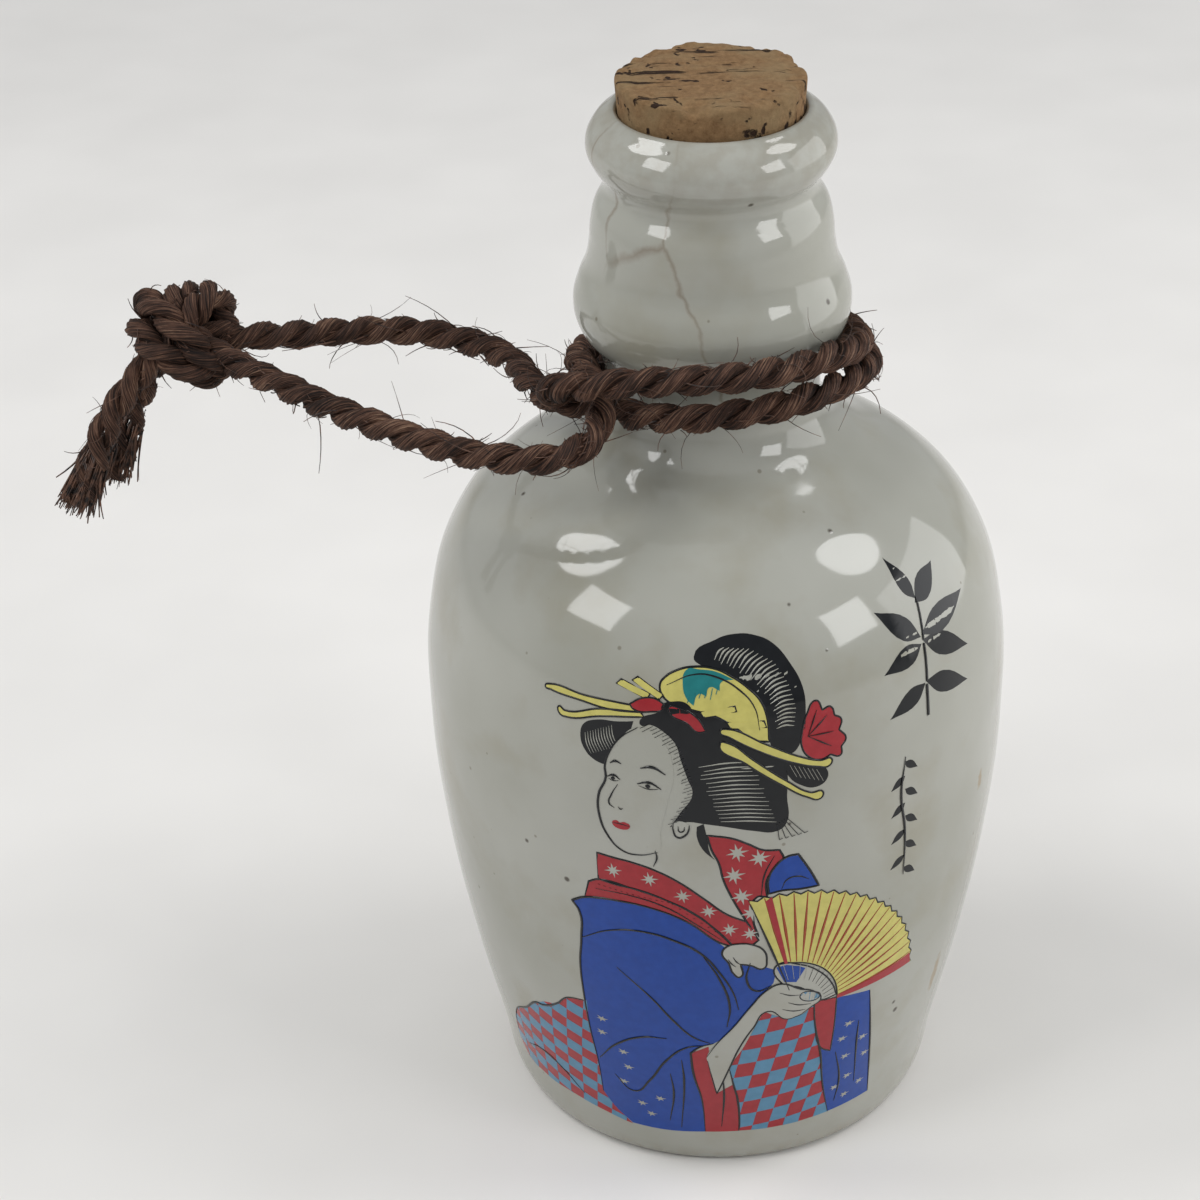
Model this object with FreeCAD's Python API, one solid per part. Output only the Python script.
import FreeCAD, Part
import math
import os

os.makedirs("parts", exist_ok=True)

# Sake bottle with a cork and a rope carrying loop. Millimetres, +Z up.
# The origin is the centre of the foot, on the surface that the bottle stands on.

Vector = FreeCAD.Vector
UP = Vector(0, 0, 1)

# ---- driving dimensions -------------------------------------------------------------
FOOT_RADIUS = 29.4            # outer edge of the ring that stands on the table
FOOT_INNER_RADIUS = 24.6      # inner edge of that ring
FOOT_RECESS = 2.2             # hollow under the base
FLOOR_HEIGHT = 5.6            # inside floor above the table

CORK_TOP = 153.0
CORK_BOTTOM = 136.0
CORK_TOP_RADIUS = 12.25
CORK_BOTTOM_RADIUS = 11.1
CORK_EDGE = 0.5               # worn edge at both ends
CORK_CLEARANCE = 0.05         # radial, all the way down the seat
SEAT_TOP = 148.3              # where the seat's cone runs into the rounded lip

ROPE_RADIUS = 2.0
LOOP_AXIS = Vector(-21.6, 0, 111.3)     # the loop swings about a line through here, along Y
SWING_GAP = 0.7               # between a swinging rope end and the fixed one

# Outside of the bottle as (radius, height), from the foot's edge to the crest of the lip.
OUTSIDE = [
    (30.6, 1.2), (32.3, 9.0), (36.0, 26.0), (39.0, 45.0), (40.2, 62.0), (39.5, 77.0),
    (36.2, 88.3), (29.8, 96.3), (20.4, 102.0), (15.4, 106.0), (14.3, 110.3), (15.2, 115.8),
    (17.7, 119.5), (18.3, 122.8), (17.6, 125.6), (16.5, 128.3), (16.0, 131.0), (15.8, 133.4),
    (15.3, 135.8), (13.8, 139.5), (15.3, 141.7), (16.15, 144.2), (15.2, 146.9), (13.6, 148.4),
    (12.7, 148.9),
]

# Inside of the bottle, from under the cork down to the corner of the floor.
INSIDE = [
    (11.2, 135.0), (12.9, 130.0), (14.6, 123.4), (13.4, 118.8), (11.2, 114.0), (10.9, 109.0),
    (13.2, 104.2), (20.2, 98.0), (28.0, 92.0), (33.2, 85.0), (36.1, 75.5), (36.9, 62.0),
    (35.8, 45.0), (32.6, 26.0), (29.0, 12.0), (26.6, 7.6), (22.0, FLOOR_HEIGHT),
]

# Route of the rope's middle line, from the knot, round the neck and back to the knot.
NEAR_STRAND = [
    (-67.0, 1.5, 113.9), (-58.0, -5.0, 112.9), (-49.0, -12.0, 112.0), (-39.0, -18.6, 111.5),
    (-30.2, -23.6, 111.3), (-21.6, -25.2, 111.3),
]
HITCH = [
    (-16.2, -23.6, 112.2), (-14.0, -19.4, 114.0), (-15.0, -14.2, 116.4), (-17.2, -8.0, 116.4),
    (-17.8, -1.5, 114.4), (-16.3, 6.0, 112.8), (-10.8, 13.6, 112.4), (-2.0, 17.4, 112.6),
    (7.2, 16.2, 113.4), (14.8, 11.2, 115.0), (19.6, 3.6, 117.2), (20.5, -5.2, 119.0),
    (15.8, -14.5, 120.6), (7.3, -20.6, 121.0), (-2.0, -22.0, 120.9), (-10.2, -21.4, 120.4),
    (-16.8, -19.2, 118.8), (-20.7, -15.0, 116.6), (-21.2, -11.1, 113.9), (-17.6, -9.5, 111.2),
    (-13.3, -11.9, 111.6), (-8.0, -16.2, 112.6), (-1.0, -19.0, 113.9), (7.5, -18.8, 115.2),
    (15.2, -14.2, 115.4), (20.4, -5.6, 114.4), (20.6, 4.0, 111.8), (16.1, 12.6, 109.6),
    (8.2, 17.6, 108.2), (-1.0, 19.2, 107.8), (-9.8, 17.0, 107.8), (-15.8, 11.0, 108.2),
]
FAR_STRAND = [
    (-21.6, -0.6, 111.3), (-26.0, 6.6, 110.2), (-33.0, 12.2, 110.0), (-41.0, 14.4, 110.8),
    (-50.0, 12.6, 111.7), (-59.0, 8.8, 112.8), (-67.0, 5.8, 114.2),
]
FOLD = (-18.2, 3.6, 109.0)    # where the far side of the hitch folds back under the bight

KNOT_CENTRE = Vector(-70.8, 4.0, 115.6)
KNOT_RADIUS = 7.4
LONG_TAIL = [(-74.0, 1.0, 114.6), (-79.2, -0.8, 109.4), (-82.9, -2.0, 102.4), (-86.6, -3.0, 94.0)]
SHORT_TAIL = [(-73.4, 6.0, 114.0), (-77.5, 5.2, 107.8), (-80.3, 4.2, 101.2), (-82.7, 3.4, 94.8)]


# ---- helpers ------------------------------------------------------------------------
def profile_point(radius_height):
    return Vector(radius_height[0], 0, radius_height[1])


def smooth_edge(points):
    curve = Part.BSplineCurve()
    curve.interpolate([profile_point(point) for point in points])
    return curve.toShape()


def straight_edge(start, end):
    return Part.makeLine(profile_point(start), profile_point(end))


def turned_solid(edges):
    """The closed outline, turned about the bottle's axis."""
    face = Part.Face(Part.Wire(edges))
    return face.revolve(Vector(0, 0, 0), UP, 360)


def cork_radius(height):
    share = (height - CORK_BOTTOM) / (CORK_TOP - CORK_BOTTOM)
    return CORK_BOTTOM_RADIUS + share * (CORK_TOP_RADIUS - CORK_BOTTOM_RADIUS)


def route_wire(points):
    """Straight runs joined by tangent arcs, each as large as its two runs allow."""
    points = [Vector(*point) for point in points]
    edges = []
    radii = []
    start = points[0]
    for before, corner, after in zip(points, points[1:], points[2:]):
        back = (before - corner).normalize()
        onward = (after - corner).normalize()
        half_turn = (math.pi - back.getAngle(onward)) / 2
        setback = 0.45 * min(before.distanceToPoint(corner), corner.distanceToPoint(after))
        radius = setback / math.tan(half_turn)
        first = corner + back * setback
        last = corner + onward * setback
        inward = (back + onward).normalize()
        middle = corner + inward * (radius / math.cos(half_turn) - radius)
        edges.append(Part.LineSegment(start, first).toShape())
        edges.append(Part.Arc(first, middle, last).toShape())
        radii.append(radius)
        start = last
    edges.append(Part.LineSegment(start, points[-1]).toShape())
    return Part.Wire(edges), radii


def rope(name, points):
    """A plain round tube along the route."""
    wire, radii = route_wire(points)
    first, second = Vector(*points[0]), Vector(*points[1])
    section = Part.Wire(Part.makeCircle(ROPE_RADIUS, first, second - first))
    tube = wire.makePipeShell([section], True, False)
    print(name, "length %.1f" % wire.Length, "least radius %.1f" % min(radii),
          "volume / (section x length) %.4f"
          % (tube.Volume / (math.pi * ROPE_RADIUS ** 2 * wire.Length)))
    return tube


def short_of(axis_point, neighbour):
    """Where a fixed rope stops, so that the swinging rope's round end just clears it."""
    target, other = Vector(*axis_point), Vector(*neighbour)
    end = target + (other - target).normalize() * (ROPE_RADIUS + SWING_GAP)
    return (end.x, end.y, end.z)


# ---- the bottle: one hollow shell with a foot ring and a rolled lip -----------------
def bottle():
    seat_top_radius = cork_radius(SEAT_TOP) + CORK_CLEARANCE
    crest = OUTSIDE[-1]
    lip_middle = ((crest[0] + seat_top_radius) / 2 - 0.15, (crest[1] + SEAT_TOP) / 2 + 0.15)
    lip_round = Part.Arc(profile_point(crest), profile_point(lip_middle),
                         profile_point((seat_top_radius, SEAT_TOP))).toShape()
    foot = [(0, FLOOR_HEIGHT), (0, FOOT_RECESS), (FOOT_INNER_RADIUS - 0.8, FOOT_RECESS),
            (FOOT_INNER_RADIUS, 0), (FOOT_RADIUS, 0), OUTSIDE[0]]
    edges = [
        smooth_edge(OUTSIDE),
        lip_round,
        straight_edge((seat_top_radius, SEAT_TOP), INSIDE[0]),
        smooth_edge(INSIDE),
        straight_edge(INSIDE[-1], foot[0]),
    ]
    edges += [straight_edge(start, end) for start, end in zip(foot, foot[1:])]
    return turned_solid(edges)


def cork():
    outline = [
        (0, CORK_BOTTOM), (CORK_BOTTOM_RADIUS - CORK_EDGE, CORK_BOTTOM),
        (cork_radius(CORK_BOTTOM + CORK_EDGE), CORK_BOTTOM + CORK_EDGE),
        (cork_radius(CORK_TOP - CORK_EDGE), CORK_TOP - CORK_EDGE),
        (CORK_TOP_RADIUS - CORK_EDGE, CORK_TOP), (0, CORK_TOP),
    ]
    return turned_solid([straight_edge(start, end)
                         for start, end in zip(outline, outline[1:] + outline[:1])])


# ---- the rope -----------------------------------------------------------------------
def hitch():
    """Both turns round the neck and the bight that holds the loop's two strands."""
    return rope("neck_hitch", [short_of(NEAR_STRAND[-1], HITCH[0])] + HITCH + [FOLD])


def knot():
    return Part.makeSphere(KNOT_RADIUS, KNOT_CENTRE)


def strand(name, points, knot_solid):
    """One side of the loop: a round end on the swing axis, and cut to meet the knot."""
    if (Vector(*points[0]) - LOOP_AXIS).Length < (Vector(*points[-1]) - LOOP_AXIS).Length:
        on_axis, neighbour = Vector(*points[0]), Vector(*points[1])
    else:
        on_axis, neighbour = Vector(*points[-1]), Vector(*points[-2])
    round_end = Part.makeSphere(ROPE_RADIUS, on_axis, on_axis - neighbour, 0, 90, 360)
    return rope(name, points).fuse(round_end).cut(knot_solid)


knot_solid = knot()
nodes = {
    "bottle": bottle(),
    "cork": cork(),
    "neck_hitch": hitch(),
    "loop_near_strand": strand("loop_near_strand", NEAR_STRAND, knot_solid),
    "loop_far_strand": strand("loop_far_strand", FAR_STRAND, knot_solid),
    "knot": knot_solid,
    "long_tail": rope("long_tail", LONG_TAIL).cut(knot_solid),
    "short_tail": rope("short_tail", SHORT_TAIL).cut(knot_solid),
}

for name, shape in nodes.items():
    assert shape.isValid(), name
    assert len(shape.Solids) == 1, name
    shape.Solids[0].exportStep("parts/%s.step" % name)
    box = shape.BoundBox
    print("%-18s volume %9.1f  x %.1f..%.1f  y %.1f..%.1f  z %.1f..%.1f"
          % (name, shape.Volume, box.XMin, box.XMax, box.YMin, box.YMax, box.ZMin, box.ZMax))
